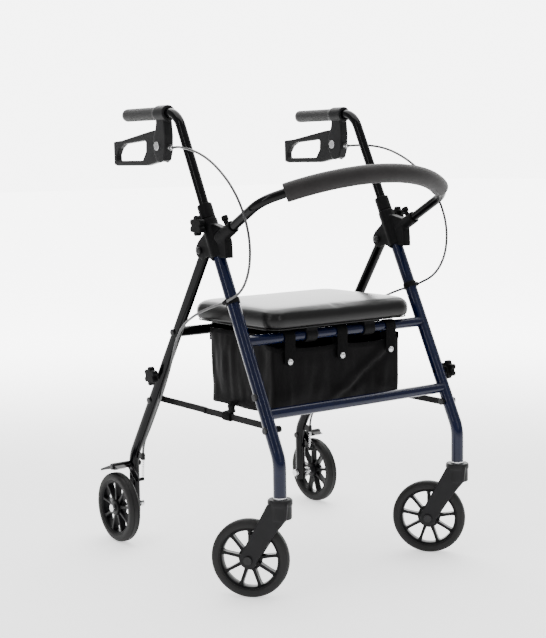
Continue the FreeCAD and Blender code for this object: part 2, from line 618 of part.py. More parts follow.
# ---- backrest -----------------------------------------------------------------------------
def backrest():
    rf = BACK_BEND_R
    arc_w = BACK_DEPTH - BACK_ARC_R
    cx = BACK_HALF - rf
    cw = arc_w + math.sqrt((BACK_ARC_R - rf) ** 2 - cx ** 2)
    ux = cx / (BACK_ARC_R - rf)
    uw = (cw - arc_w) / (BACK_ARC_R - rf)
    turn = math.atan2(uw, ux)
    mid_x = cx + rf * math.cos(turn / 2)
    mid_w = cw + rf * math.sin(turn / 2)
    join = (cx + rf * ux, cw + rf * uw)
    tail = -28.0
    wire = Part.Wire([
        Part.LineSegment(back_point(-BACK_HALF, tail), back_point(-BACK_HALF, cw)).toShape(),
        Part.Arc(back_point(-BACK_HALF, cw), back_point(-mid_x, mid_w), back_point(-join[0], join[1])).toShape(),
        Part.Arc(back_point(-join[0], join[1]), back_point(0, BACK_DEPTH), back_point(join[0], join[1])).toShape(),
        Part.Arc(back_point(join[0], join[1]), back_point(mid_x, mid_w), back_point(BACK_HALF, cw)).toShape(),
        Part.LineSegment(back_point(BACK_HALF, cw), back_point(BACK_HALF, tail)).toShape(),
    ])
    tube = swept(wire, BACK_R).cut(swept(wire, BACK_R - WALL))
    add("backrest_tube", tube)
    end = math.asin(PAD_HALF / BACK_ARC_R)
    pad_end = (PAD_HALF, arc_w + BACK_ARC_R * math.cos(end))
    arc = Part.Wire([Part.Arc(back_point(-pad_end[0], pad_end[1]), back_point(0, BACK_DEPTH),
                              back_point(pad_end[0], pad_end[1])).toShape()])
    pad = swept(arc, PAD_R).cut(swept(arc, BACK_R))
    add("backrest_pad", pad)
    low = back_point(-BACK_HALF, 2, BACK_R + GAP)
    high = back_point(-BACK_HALF, 2, 13.3)
    neck = back_point(-BACK_HALF, 2, 22.0)
    head = back_point(-BACK_HALF, 2, 31.0)
    button = fuse(rod(low, head, 2.0), rod(high, neck, 5.0), rod(neck, head, 7.0))
    add_pair("backrest_button", button)


# ---- seat ---------------------------------------------------------------------------------
def seat():
    bar = front_axis(UPPER_BAR_Z)
    rear = rear_axis(REAR_BAR_Z)
    board = plate(-SEAT_HALF + 4, SEAT_HALF - 4, SEAT_Y0 + 4, SEAT_Y1 - 4,
                  SEAT_Z, SEAT_Z + BOARD_T, SEAT_CORNER - 4)
    add("seat_board", board)
    pad = plate(-SEAT_HALF, SEAT_HALF, SEAT_Y0, SEAT_Y1, SEAT_Z + BOARD_T, SEAT_Z + BOARD_T + PAD_T,
                SEAT_CORNER)
    top = [e for e in pad.Edges if abs(e.BoundBox.ZMin - SEAT_Z - BOARD_T - PAD_T) < 0.01
           and e.BoundBox.ZLength < 0.01]
    add("seat_pad", pad.makeFillet(11.0, top))
    hinges = []
    for x in HINGE_X:
        eye = ring(V(x - 14, bar.y, bar.z), V(x + 14, bar.y, bar.z), 14.5, BAR_R + 0.1)
        block = Part.makeBox(28, 24, 10, V(x - 14, bar.y - 12, SEAT_Z - 10))
        block = block.cut(along_x(bar.y, bar.z, x - 20, x + 20, BAR_R + 0.1))
        hinges.append(fuse(eye, block))
        low = rear.z + BAR_R + GAP
        hinges.append(Part.makeBox(24, 18, SEAT_Z - low, V(x - 12, rear.y - 9, low)))
    add("seat_hinges", *hinges)


# ---- bag ----------------------------------------------------------------------------------
def bag_ring(half, y0, y1, z):
    """Closed rectangle at height z."""
    pts = [V(-half, y0, z), V(half, y0, z), V(half, y1, z), V(-half, y1, z)]
    return Part.makePolygon(pts + [pts[0]])


def tapered(low, high):
    """Solid between two rectangles."""
    return Part.makeLoft([low, high], True, True)


def bag():
    """Open-topped pouch: a tub, and above it the band that hangs from the crossbars."""
    half = BAG_HALF - BAG_TAPER
    y1 = BAG_Y1 - BAG_TAPER
    t = BAG_T
    shell = tapered(bag_ring(half, BAG_Y0, y1, BAG_Z0),
                    bag_ring(BAG_HALF, BAG_Y0, BAG_Y1, BAG_BAND_Z))
    hollow = tapered(bag_ring(half - t, BAG_Y0 + t, y1 - t, BAG_Z0 + t),
                     bag_ring(BAG_HALF - t, BAG_Y0 + t, BAG_Y1 - t, BAG_BAND_Z + 0.5))
    add("bag", shell.cut(hollow))
    depth = BAG_Y1 - BAG_Y0
    high = BAG_Z1 - BAG_BAND_Z
    band = Part.makeBox(2 * BAG_HALF, depth, high, V(-BAG_HALF, BAG_Y0, BAG_BAND_Z))
    inside = Part.makeBox(2 * (BAG_HALF - t), depth - 2 * t, high + 2,
                          V(-BAG_HALF + t, BAG_Y0 + t, BAG_BAND_Z - 1))
    band = band.cut(inside)
    rise = BAG_SIDE_Z - BAG_Z1
    back = Part.makeBox(2 * BAG_HALF, BAG_Y1 - BAG_SIDE_Y, rise, V(-BAG_HALF, BAG_SIDE_Y, BAG_Z1))
    back = back.cut(Part.makeBox(2 * (BAG_HALF - t), BAG_Y1 - BAG_SIDE_Y, rise + 2,
                                 V(-BAG_HALF + t, BAG_SIDE_Y - t, BAG_Z1 - 1)))
    straps = [fuse(band, back)]
    for bar in (front_axis(UPPER_BAR_Z), rear_axis(REAR_BAR_Z)):
        for x in STRAP_X:
            straps.append(ring(V(x - 12, bar.y, bar.z), V(x + 12, bar.y, bar.z),
                               BAR_R + GAP + STRAP_T, BAR_R + GAP))
    add("bag_straps", *straps)


# ---- brake cables -------------------------------------------------------------------------
CABLE_ROUTE = (
    (-231.5, 356.0, 855.0),
    (-233.0, 336.0, 855.5),
    (-240.0, 312.0, 856.0),
    (-247.5, 290.0, 855.0),
    (-250.0, 250.0, 850.0),
    (-250.0, 206.0, 838.0),
    (-252.0, 158.0, 816.0),
    (-253.0, 108.0, 780.0),
    (-253.0, 72.0, 734.0),
    (-253.0, 52.0, 681.0),
    (-252.0, 56.0, 624.0),
    (-250.0, 86.0, 580.0),
    (-249.0, 138.0, 557.0),
    (-249.0, 192.0, 543.0),
    (-250.0, 248.0, 524.0),
    (-248.0, 300.0, 497.0),
    (-243.0, 336.0, 457.0),
    (-236.0, 366.0, 409.0),
    (-232.5, 398.0, 358.0),
    (-231.5, 432.0, 307.0),
    (-231.5, 465.0, 257.0),
    (-231.5, 497.0, 214.0),
    (-231.5, 497.0, 190.0),
)


def cable():
    points = [V(*p) for p in CABLE_ROUTE]
    radii = []
    for i in range(1, len(points) - 1):
        back = points[i - 1] - points[i]
        ahead = points[i + 1] - points[i]
        half = back.getAngle(ahead) / 2
        radii.append(0.45 * min(back.Length, ahead.Length) * math.tan(half))
    wire = rounded_path(points, radii)
    solid = swept(wire, CABLE_R)
    print("cable length", round(wire.Length, 1), "radii", [round(r) for r in radii])
    print("cable volume ratio", round(solid.Volume / (math.pi * CABLE_R ** 2 * wire.Length), 4))
    return solid


# ---- build --------------------------------------------------------------------------------
def build():
    front_frame()
    rear_frame()
    braces()
    casters_and_wheels()
    add_pair("brake_shoe", brake_shoe())
    spring = brake_spring()
    add("brake_springs", spring, mirrored(spring))
    add_pair("handle_tube", handle_tube())
    add_pair("grip", grip())
    add_pair("brake_housing", brake_housing())
    add_pair("brake_lever", brake_lever())
    add_pair("lever_pin", lever_pin())
    knobs()
    backrest()
    seat()
    bag()
    add_pair("brake_cable", cable())
    for shape in NODES.values():
        shape.translate(ORIGIN * -1)


def export():
    os.makedirs("parts", exist_ok=True)
    box = FreeCAD.BoundBox()
    for name, shape in sorted(NODES.items()):
        if not shape.isValid():
            print("not valid:", name)
        shape.exportStep("parts/" + name + ".step")
        box.add(shape.optimalBoundingBox(False, False))
    print(len(NODES), "nodes, overall box", box)


build()
export()
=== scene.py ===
import json
import math
import bmesh
import bpy
from mathutils import Matrix, Vector, noise

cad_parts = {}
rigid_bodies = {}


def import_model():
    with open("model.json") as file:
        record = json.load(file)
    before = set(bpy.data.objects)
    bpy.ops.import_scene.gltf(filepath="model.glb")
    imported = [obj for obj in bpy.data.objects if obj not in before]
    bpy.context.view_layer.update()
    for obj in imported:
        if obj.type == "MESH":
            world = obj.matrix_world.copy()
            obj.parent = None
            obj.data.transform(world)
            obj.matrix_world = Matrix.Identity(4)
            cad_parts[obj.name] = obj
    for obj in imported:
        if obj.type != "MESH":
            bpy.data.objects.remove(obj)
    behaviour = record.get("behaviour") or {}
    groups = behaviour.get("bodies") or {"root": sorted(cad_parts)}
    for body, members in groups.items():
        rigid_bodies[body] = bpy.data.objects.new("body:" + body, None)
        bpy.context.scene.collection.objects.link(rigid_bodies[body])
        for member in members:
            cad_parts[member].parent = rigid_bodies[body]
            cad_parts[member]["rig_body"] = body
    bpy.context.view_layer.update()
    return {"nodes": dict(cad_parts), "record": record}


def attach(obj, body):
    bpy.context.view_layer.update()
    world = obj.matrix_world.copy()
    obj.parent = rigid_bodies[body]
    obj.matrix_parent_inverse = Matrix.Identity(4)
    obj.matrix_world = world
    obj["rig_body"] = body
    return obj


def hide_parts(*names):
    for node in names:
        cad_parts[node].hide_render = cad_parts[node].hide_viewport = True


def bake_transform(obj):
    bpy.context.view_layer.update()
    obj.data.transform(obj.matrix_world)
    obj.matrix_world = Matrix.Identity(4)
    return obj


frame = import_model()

# ---- drawing frame: millimetres about the walker's middle plane, caster stems on y = 0 ------
SHIFT = Vector((15.48, -275.02, 0.0))     # from the drawing frame to the row frame
SIDE_X = 231.5            # middle plane of each side frame
SIDES = (("left", -1), ("right", 1))
FRONT_BEND_Z = 266.7      # where the front leg starts to lean
FRONT_LEAN = math.radians(26.4)
REAR_BEND_Z = 184.5
REAR_LEAN = math.radians(33.1)
REAR_AXLE_Y = 536.0
UPPER_BAR_Z = 481.7
REAR_BAR_Z = 478.0
BRACE_LOOP_Y = 193.5      # where the bag's side loops hold the braces
GRIP_Z = 925.3            # axis of the grips
WHEEL_R = 76.2
REAR_WHEEL_X = 273.4
TRAIL = 59.5              # caster trail
CASTER_TURN = math.radians(129.0)         # where the trail points, from +X
SPOKES = 9
CABLE_R = 2.5


def P(x, y, z):
    """Point of the drawing frame, in metres in the row frame."""
    return (Vector((x, y, z)) + SHIFT) / 1000


def front_y(z):
    """Middle of the front leg at a height."""
    return (z - FRONT_BEND_Z) * math.tan(FRONT_LEAN)


def rear_y(z):
    """Middle of the rear leg at a height."""
    return REAR_AXLE_Y - (z - REAR_BEND_Z) * math.tan(REAR_LEAN)


# ---- materials -----------------------------------------------------------------------------
def links(mat):
    return mat.node_tree.nodes, mat.node_tree.links


def material(name, color, rough, metal=0.0, coat=0.0, coat_rough=0.08, sheen=0.0, spec=0.5,
             vary=0.15, grain=(900.0, 0.15, 0.0002), pattern="noise", rough_vary=0.06):
    """Principled surface with a fine relief and slow changes of colour and roughness."""
    mat = bpy.data.materials.new(name)
    mat.use_nodes = True
    nodes, link = links(mat)
    shader = nodes["Principled BSDF"]
    shader.inputs["Metallic"].default_value = metal
    shader.inputs["Coat Weight"].default_value = coat
    shader.inputs["Coat Roughness"].default_value = coat_rough
    shader.inputs["Sheen Weight"].default_value = sheen
    shader.inputs["Sheen Roughness"].default_value = 0.45
    shader.inputs["Specular IOR Level"].default_value = spec
    place = nodes.new("ShaderNodeTexCoord")
    slow = nodes.new("ShaderNodeTexNoise")
    slow.inputs["Scale"].default_value = 28.0
    slow.inputs["Detail"].default_value = 5.0
    link.new(place.outputs["Object"], slow.inputs["Vector"])
    tint = nodes.new("ShaderNodeValToRGB")
    tint.color_ramp.elements[0].position = 0.3
    tint.color_ramp.elements[1].position = 0.7
    tint.color_ramp.elements[0].color = [c * (1 - vary) for c in color] + [1]
    tint.color_ramp.elements[1].color = [c * (1 + vary) for c in color] + [1]
    link.new(slow.outputs["Fac"], tint.inputs["Fac"])
    link.new(tint.outputs["Color"], shader.inputs["Base Color"])
    spread = nodes.new("ShaderNodeMapRange")
    spread.inputs["To Min"].default_value = max(0.02, rough - rough_vary)
    spread.inputs["To Max"].default_value = min(1.0, rough + rough_vary)
    link.new(slow.outputs["Fac"], spread.inputs["Value"])
    link.new(spread.outputs["Result"], shader.inputs["Roughness"])
    scale, strength, depth = grain
    height = relief(mat, place, pattern, scale)
    bump = nodes.new("ShaderNodeBump")
    bump.inputs["Strength"].default_value = strength
    bump.inputs["Distance"].default_value = depth
    link.new(height, bump.inputs["Height"])
    link.new(bump.outputs["Normal"], shader.inputs["Normal"])
    return mat


def relief(mat, place, pattern, scale):
    """Height output of one of the fine patterns."""
    nodes, link = links(mat)
    if pattern == "leather":
        wander = nodes.new("ShaderNodeTexNoise")
        wander.inputs["Scale"].default_value = scale * 0.6
        shift = nodes.new("ShaderNodeVectorMath")
        shift.operation = "MULTIPLY_ADD"
        shift.inputs[1].default_value = (0.0012, 0.0012, 0.0012)
        link.new(place.outputs["Object"], wander.inputs["Vector"])
        link.new(wander.outputs["Color"], shift.inputs[0])
        link.new(place.outputs["Object"], shift.inputs[2])
        cells = nodes.new("ShaderNodeTexVoronoi")
        cells.feature = "DISTANCE_TO_EDGE"
        cells.inputs["Scale"].default_value = scale
        link.new(shift.outputs["Vector"], cells.inputs["Vector"])
        soft = nodes.new("ShaderNodeMapRange")
        soft.interpolation_type = "SMOOTHSTEP"
        soft.inputs["From Max"].default_value = 0.22
        link.new(cells.outputs["Distance"], soft.inputs["Value"])
        return soft.outputs["Result"]
    if pattern == "weave":
        bands = []
        for direction in ("X", "Z"):
            wave = nodes.new("ShaderNodeTexWave")
            wave.bands_direction = direction
            wave.inputs["Scale"].default_value = scale
            wave.inputs["Distortion"].default_value = 0.25
            link.new(place.outputs["Object"], wave.inputs["Vector"])
            bands.append(wave)
        both = nodes.new("ShaderNodeMath")
        both.operation = "MULTIPLY"
        link.new(bands[0].outputs["Fac"], both.inputs[0])
        link.new(bands[1].outputs["Fac"], both.inputs[1])
        return both.outputs["Value"]
    fine = nodes.new("ShaderNodeTexNoise")
    fine.inputs["Scale"].default_value = scale
    fine.inputs["Detail"].default_value = 3.0
    link.new(place.outputs["Object"], fine.inputs["Vector"])
    return fine.outputs["Fac"]


MATS = {
    "navy_paint": material("navy_paint", (0.0008, 0.0030, 0.018), 0.20, metal=0.1, coat=0.35,
                           coat_rough=0.04, spec=0.10, grain=(320.0, 0.05, 0.0002),
                           rough_vary=0.03),
    "black_paint": material("black_paint", (0.0012, 0.0012, 0.0016), 0.20, coat=0.18,
                            coat_rough=0.04, spec=0.06, grain=(320.0, 0.05, 0.0002),
                            rough_vary=0.03),
    "black_plastic": material("black_plastic", (0.0030, 0.0030, 0.0033), 0.48, spec=0.07,
                              grain=(1400.0, 0.22, 0.00015)),
    "brake_plastic": material("brake_plastic", (0.0080, 0.0080, 0.0086), 0.46, spec=0.14,
                              grain=(1400.0, 0.22, 0.00015)),
    "rim_plastic": material("rim_plastic", (0.0028, 0.0028, 0.0034), 0.36, spec=0.12,
                            grain=(1200.0, 0.15, 0.00012)),
    "tyre_rubber": material("tyre_rubber", (0.0080, 0.0078, 0.0078), 0.60, spec=0.22,
                            grain=(1000.0, 0.30, 0.0002)),
    "foam": material("foam", (0.016, 0.0148, 0.0148), 0.60, sheen=0.02, vary=0.10, spec=0.15,
                     grain=(1500.0, 0.45, 0.0003)),
    "grip_foam": material("grip_foam", (0.011, 0.0108, 0.011), 0.6, sheen=0.02, vary=0.12,
                          grain=(1300.0, 0.5, 0.0003)),
    "seat_vinyl": material("seat_vinyl", (0.0022, 0.0021, 0.0021), 0.29, spec=0.26, coat=0.02,
                           coat_rough=0.3, vary=0.05, rough_vary=0.012,
                           grain=(700.0, 0.10, 0.00012), pattern="leather"),
    "seat_board_black": material("seat_board_black", (0.009, 0.009, 0.0095), 0.5),
    "bag_nylon": material("bag_nylon", (0.0020, 0.0018, 0.0021), 0.5, sheen=0.0, spec=0.07,
                          grain=(260.0, 0.35, 0.00018), pattern="weave"),
    "webbing": material("webbing", (0.0018, 0.0018, 0.0020), 0.7, sheen=0.0, spec=0.06,
                        grain=(420.0, 0.6, 0.0003), pattern="weave"),
    "zinc_steel": material("zinc_steel", (0.62, 0.62, 0.63), 0.26, metal=1.0, vary=0.08,
                           grain=(700.0, 0.08, 0.0001)),
    "black_bolt": material("black_bolt", (0.007, 0.007, 0.0078), 0.34, spec=0.25,
                           grain=(900.0, 0.1, 0.0001)),
    "cable_sheath": material("cable_sheath", (0.022, 0.022, 0.023), 0.4, coat=0.2,
                             grain=(900.0, 0.1, 0.0001)),
}
SLOT_OF = {s["node"]: s["material_slot"] for s in frame["record"]["subparts"]}
NODE_MAT = dict(SLOT_OF)
for side, _ in SIDES:
    NODE_MAT["grip_" + side] = "grip_foam"
    NODE_MAT["brake_housing_" + side] = "brake_plastic"
    NODE_MAT["brake_lever_" + side] = "brake_plastic"
    NODE_MAT["caster_fork_" + side] = "brake_plastic"
    NODE_MAT["brace_front_" + side] = "black_plastic"
    NODE_MAT["brace_rear_" + side] = "black_plastic"


def smooth(obj, degrees=35.0):
    """Shade smooth, keeping edges sharper than the angle."""
    obj.data.shade_smooth()
    obj.data.set_sharp_from_angle(angle=math.radians(degrees))


for name, obj in frame["nodes"].items():
    obj.data.materials.clear()
    obj.data.materials.append(MATS[NODE_MAT[name]])
    smooth(obj)


# ---- mesh helpers --------------------------------------------------------------------------
def new_object(name, mesh, mat):
    obj = bpy.data.objects.new(name, mesh)
    bpy.context.scene.collection.objects.link(obj)
    obj.data.materials.clear()
    obj.data.materials.append(MATS[mat])
    return obj


def mesh_from(name, verts, faces, mat, angle=35.0):
    mesh = bpy.data.meshes.new(name)
    mesh.from_pydata([tuple(v) for v in verts], [], faces)
    work = bmesh.new()
    work.from_mesh(mesh)
    bmesh.ops.recalc_face_normals(work, faces=work.faces)
    work.to_mesh(mesh)
    work.free()
    obj = new_object(name, mesh, mat)
    smooth(obj, angle)
    return obj


def finish_piece(obj, body, slot, *nodes):
    """Rides on the body and stands for the nodes; slot is not used."""
    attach(obj, body)
    if nodes:
        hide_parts(*nodes)
    return obj


def ring_faces(rings, count, closed=False, caps=True):
    """Quads between successive rings of count points, and end caps."""
    faces = []
    steps = rings if closed else rings - 1
    for r in range(steps):
        a, b = r * count, ((r + 1) % rings) * count
        for i in range(count):
            j = (i + 1) % count
            faces.append((a + i, a + j, b + j, b + i))
    if caps and not closed:
        faces.append(tuple(range(count))[::-1])
        faces.append(tuple((rings - 1) * count + i for i in range(count)))
    return faces


def lathe(profile, matrix, steps=96):
    """Closed profile of (along, radius) in mm turned about local X; matrix sets it in place."""
    verts = []
    for k in range(steps):
        a = 2 * math.pi * k / steps
        verts += [matrix @ Vector((x, r * math.cos(a), r * math.sin(a))) for x, r in profile]
    return verts, ring_faces(steps, len(profile), closed=True)


def joined(name, groups, mat, angle=35.0):
    """One mesh out of several (verts, faces) groups."""
    verts, faces = [], []
    for v, f in groups:
        base = len(verts)
        verts += v
        faces += [tuple(base + i for i in face) for face in f]
    return mesh_from(name, verts, faces, mat, angle)


def frames_along(path, up):
    """(point, sideways, up) at each point of a path of vectors, both crosswise."""
    out = []
    for i, p in enumerate(path):
        way = (path[min(i + 1, len(path) - 1)] - path[max(i - 1, 0)]).normalized()
        across = way.cross(up).normalized()
        out.append((p, across, across.cross(way).normalized()))
    return out


def tube(path, radius, up=Vector((0, 0, 1)), count=16, ends=None):
    """Round tube along a path; ends scales the radius at each point."""
    verts = []
    for i, (p, a, b) in enumerate(frames_along(path, up)):
        r = radius * (ends[i] if ends else 1.0)
        for k in range(count):
            t = 2 * math.pi * k / count
            verts.append(p + a * (r * math.cos(t)) + b * (r * math.sin(t)))
    return verts, ring_faces(len(path), count)


def ribbon(path, width, thick, across):
    """Flat strap with rounded edges along a path, its width along the across vector."""
    section = [(-0.5, -0.3), (-0.47, -0.5), (0.47, -0.5), (0.5, -0.3), (0.5, 0.3), (0.47, 0.5),
               (-0.47, 0.5), (-0.5, 0.3)]
    verts = []
    for i, p in enumerate(path):
        way = (path[min(i + 1, len(path) - 1)] - path[max(i - 1, 0)]).normalized()
        out = across.cross(way).normalized()
        verts += [p + across * (u * width) + out * (v * thick) for u, v in section]
    return verts, ring_faces(len(path), len(section))


def baked(obj):
    """Replaces the object's mesh by what its modifiers make of it."""
    dg = bpy.context.evaluated_depsgraph_get()
    mesh = bpy.data.meshes.new_from_object(obj.evaluated_get(dg))
    obj.modifiers.clear()
    old = obj.data
    obj.data = mesh
    bpy.data.meshes.remove(old)
    return obj


def moulded(node, voxel, rounds):
    """Copy of a CAD node with the softly rounded edges of a moulding; it stands for the node."""
    source = frame["nodes"][node]
    mesh = source.data.copy()
    work = bmesh.new()
    work.from_mesh(mesh)
    bmesh.ops.remove_doubles(work, verts=work.verts, dist=1e-6)
    work.to_mesh(mesh)
    work.free()
    obj = new_object(node + "_moulded", mesh, NODE_MAT[node])
    remesh = obj.modifiers.new("remesh", "REMESH")
    remesh.mode = "VOXEL"
    remesh.voxel_size = voxel
    soften = obj.modifiers.new("soften", "SMOOTH")
    soften.factor = 0.5
    soften.iterations = rounds
    thin = obj.modifiers.new("thin", "DECIMATE")
    thin.ratio = 0.5
    baked(obj)
    obj.data.materials.clear()
    obj.data.materials.append(MATS[NODE_MAT[node]])
    smooth(obj, 60.0)
    return finish_piece(obj, source["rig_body"], SLOT_OF[node], node)


# ---- stage, light and camera -----------------------------------------------------------------
LIT_SIDE = (0.5948, 0.8039, 0.0)
WALL_DIM = 0.6
WALL_BRIGHT = 6.4
FLOOR_GLOW = 0.9
FLOOR_RETURN = 0.5      # what the bare paper gives back of the room's own light


def wall_level(mat_or_world, direction):
    """Brightness of the studio wall in a direction: one side of the room is lit more."""
    nodes, link = links(mat_or_world)
    toward = nodes.new("ShaderNodeVectorMath")
    toward.operation = "DOT_PRODUCT"
    toward.inputs[1].default_value = LIT_SIDE
    link.new(direction, toward.inputs[0])
    level = nodes.new("ShaderNodeMapRange")
    level.interpolation_type = "SMOOTHSTEP"
    level.inputs["From Min"].default_value = 0.50
    level.inputs["From Max"].default_value = 0.95
    level.inputs["To Min"].default_value = WALL_DIM
    level.inputs["To Max"].default_value = WALL_BRIGHT
    link.new(toward.outputs["Value"], level.inputs["Value"])
    return level.outputs["Result"]


def stage():
    """Pale paper floor and the room's own light."""
    floor = mesh_from("floor", [(-30, -30, 0), (30, -30, 0), (30, 30, 0), (-30, 30, 0)],
                      [(0, 1, 2, 3)], "zinc_steel")
    paper = material("floor_paper", (0.86, 0.86, 0.86), 0.9, spec=0.1, vary=0.01,
                     grain=(40.0, 0.02, 0.0005))
    floor.data.materials[0] = paper
    # the sweep takes on the wall's brightness further out, so that no edge shows between them
    nodes, link = links(paper)
    spot = nodes.new("ShaderNodeTexCoord")
    reach = nodes.new("ShaderNodeVectorMath")
    reach.operation = "LENGTH"
    link.new(spot.outputs["Object"], reach.inputs[0])
    way = nodes.new("ShaderNodeVectorMath")
    way.operation = "NORMALIZE"
    link.new(spot.outputs["Object"], way.inputs[0])
    glow = nodes.new("ShaderNodeMapRange")
    glow.interpolation_type = "SMOOTHSTEP"
    glow.inputs["From Min"].default_value = 0.7
    glow.inputs["From Max"].default_value = 3.6
    glow.inputs["To Min"].default_value = FLOOR_GLOW
    link.new(reach.outputs["Value"], glow.inputs["Value"])
    own = nodes.new("ShaderNodeMath")
    own.operation = "SUBTRACT"
    own.inputs[1].default_value = FLOOR_RETURN
    link.new(wall_level(paper, way.outputs["Vector"]), own.inputs[0])
    link.new(own.outputs["Value"], glow.inputs["To Max"])
    shader = nodes["Principled BSDF"]
    shader.inputs["Emission Color"].default_value = (1.0, 1.0, 1.0, 1.0)
    link.new(glow.outputs["Result"], shader.inputs["Emission Strength"])
    world = bpy.data.worlds.new("studio")
    bpy.context.scene.world = world
    world.use_nodes = True
    nodes, link = links(world)
    back = nodes["Background"]
    back.inputs["Color"].default_value = (1.0, 1.0, 1.0, 1.0)
    place = nodes.new("ShaderNodeTexCoord")
    link.new(wall_level(world, place.outputs["Generated"]), back.inputs["Strength"])


def area_light(name, at, target, size, power):
    """Rectangular light at a place, turned to a target."""
    data = bpy.data.lights.new(name, "AREA")
    data.shape = "RECTANGLE"
    data.size, data.size_y = size
    data.energy = power
    lamp = bpy.data.objects.new(name, data)
    bpy.context.scene.collection.objects.link(lamp)
    lamp.location = at
    lamp.rotation_euler = (Vector(target) - Vector(at)).to_track_quat("-Z", "Y").to_euler()


def lights():
    """Large soft ceiling light, and three strips that draw lines along the tubes."""
    area_light("ceiling", (0.6, 0.8, 3.6), (0.3, 0.4, 0.0), (4.5, 4.5), 260.0)
    area_light("strip_left", (-2.6, -0.6, 1.9), (0, 0, 0.55), (0.12, 2.4), 16.0)
    area_light("strip_front", (-0.3, -3.0, 1.7), (0, 0, 0.5), (0.14, 2.0), 14.0)
    area_light("strip_right", (2.4, -0.9, 1.8), (0, 0, 0.55), (0.12, 2.2), 10.0)


def camera():
    """Long lens from the front left: turned 36.5 degrees to the right, 7 degrees down."""
    yaw, pitch, roll = math.radians(-36.52), math.radians(6.95), math.radians(-0.9)
    ahead = Vector((-math.sin(yaw) * math.cos(pitch), math.cos(yaw) * math.cos(pitch),
                    -math.sin(pitch)))
    right = ahead.cross(Vector((0, 0, 1))).normalized()
    up = right.cross(ahead)
    turned_right = right * math.cos(roll) + up * math.sin(roll)
    turned_up = up * math.cos(roll) - right * math.sin(roll)
    data = bpy.data.cameras.new("camera")
    data.sensor_fit = "HORIZONTAL"
    data.sensor_width = 36.0
    data.lens = 88.14
    cam = bpy.data.objects.new("camera", data)
    bpy.context.scene.collection.objects.link(cam)
    basis = Matrix((turned_right, turned_up, -ahead)).transposed()
    cam.matrix_world = Matrix.Translation((-1.68542, -2.24605, 0.835)) @ basis.to_4x4()
    bpy.context.scene.camera = cam


# ---- brake cables ----------------------------------------------------------------------------
CABLE_UPPER = (
    (-231.5, 356.0, 855.0),
    (-233.0, 336.0, 855.5),
    (-240.0, 312.0, 856.0),
    (-247.5, 290.0, 855.0),
    (-250.0, 250.0, 850.0),
    (-250.0, 206.0, 838.0),
    (-252.0, 158.0, 816.0),
    (-253.0, 108.0, 780.0),
    (-253.0, 72.0, 734.0),
    (-253.0, 52.0, 681.0),
    (-252.0, 56.0, 624.0),
    (-250.0, 86.0, 580.0),
    (-249.1, 138.0, 558.0),
    (-249.1, 148.0, 554.5),
)
CABLE_LOWER = (
    (-249.1, 138.0, 558.0),
    (-249.1, 148.0, 554.5),
    (-249.0, 192.0, 543.0),
    (-250.0, 248.0, 524.0),
    (-248.0, 300.0, 497.0),
    (-243.0, 336.0, 457.0),
    (-236.0, 366.0, 409.0),
    (-232.5, 398.0, 358.0),
    (-231.5, 432.0, 307.0),
    (-231.5, 465.0, 257.0),
    (-231.5, 497.0, 214.0),
    (-231.5, 497.0, 190.0),
)


def nurbs_points(points):
    """Points along the smooth spline that has these control points."""
    data = bpy.data.curves.new("route", "CURVE")
    data.dimensions = "3D"
    line = data.splines.new("NURBS")
    line.points.add(len(points) - 1)
    for p, c in zip(line.points, points):
        p.co = (*c, 1)
    line.order_u = 3
    line.use_endpoint_u = True
    line.resolution_u = 10
    obj = bpy.data.objects.new("route", data)
    bpy.context.scene.collection.objects.link(obj)
    mesh = bpy.data.meshes.new_from_object(obj)
    path = [v.co.copy() for v in mesh.vertices]
    bpy.data.objects.remove(obj)
    return path


def cables():
    """Each cable in two lengths that meet at the leg clip, with its adjuster at the brake."""
    sideways = Vector((1, 0, 0))
    adjuster = ((346.0, 0.62), (347.2, 0.72), (351.0, 0.72), (351.4, 1.0), (357.4, 1.0),
                (358.2, 0.9))
    for side, sign in SIDES:
        # where each length would start and stop bending, as places in its list of points
        lengths = (("upper", CABLE_UPPER, "handle_" + side, "front_frame", 2, -1),
                   ("lower", CABLE_LOWER, "front_frame", "rear_frame", 1, -2))
        for part, route, body_from, body_to, first, last in lengths:
            points = [P(-sign * x, y, z) for x, y, z in route]
            verts, faces = tube(nurbs_points(points), CABLE_R / 1000, up=sideways, count=12)
            obj = mesh_from("brake_cable_%s_%s" % (part, side), verts, faces, "cable_sheath")
            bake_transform(obj)
            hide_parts("brake_cable_" + side)
        path = [P(sign * SIDE_X, y, 855.0) for y, _ in adjuster]
        cap = tube(path, 0.0058, up=sideways, count=24, ends=[scale for _, scale in adjuster])
        piece = mesh_from("cable_ferrule_" + side, *cap, "zinc_steel")
        finish_piece(piece, "handle_" + side, "zinc_steel")


# ---- wheels ----------------------------------------------------------------------------------
# closed sections, (along the axle, radius) in mm
TYRE = ((-12.5, 62.0), (-12.5, 68.0), (-12.1, 70.6), (-10.6, 73.4), (-8.0, 75.3), (-5.6, 76.0),
        (-5.4, 75.0), (-4.4, 75.0), (-4.2, 76.15), (0.0, 76.2), (4.2, 76.15), (4.4, 75.0),
        (5.4, 75.0), (5.6, 76.0), (8.0, 75.3), (10.6, 73.4), (12.1, 70.6), (12.5, 68.0),
        (12.5, 62.0), (12.0, 61.0), (11.2, 60.6), (10.4, 59.4), (9.6, 58.2), (-9.6, 58.2),
        (-10.4, 59.4), (-11.2, 60.6), (-12.0, 61.0))
RIM = ((-10.6, 59.0), (-10.9, 58.0), (-10.6, 57.2), (-9.4, 56.8), (-8.0, 55.0), (-3.0, 54.2),
       (3.0, 54.2), (8.0, 55.0), (9.4, 56.8), (10.6, 57.2), (10.9, 58.0), (10.6, 59.0),
       (9.0, 59.6), (-9.0, 59.6))
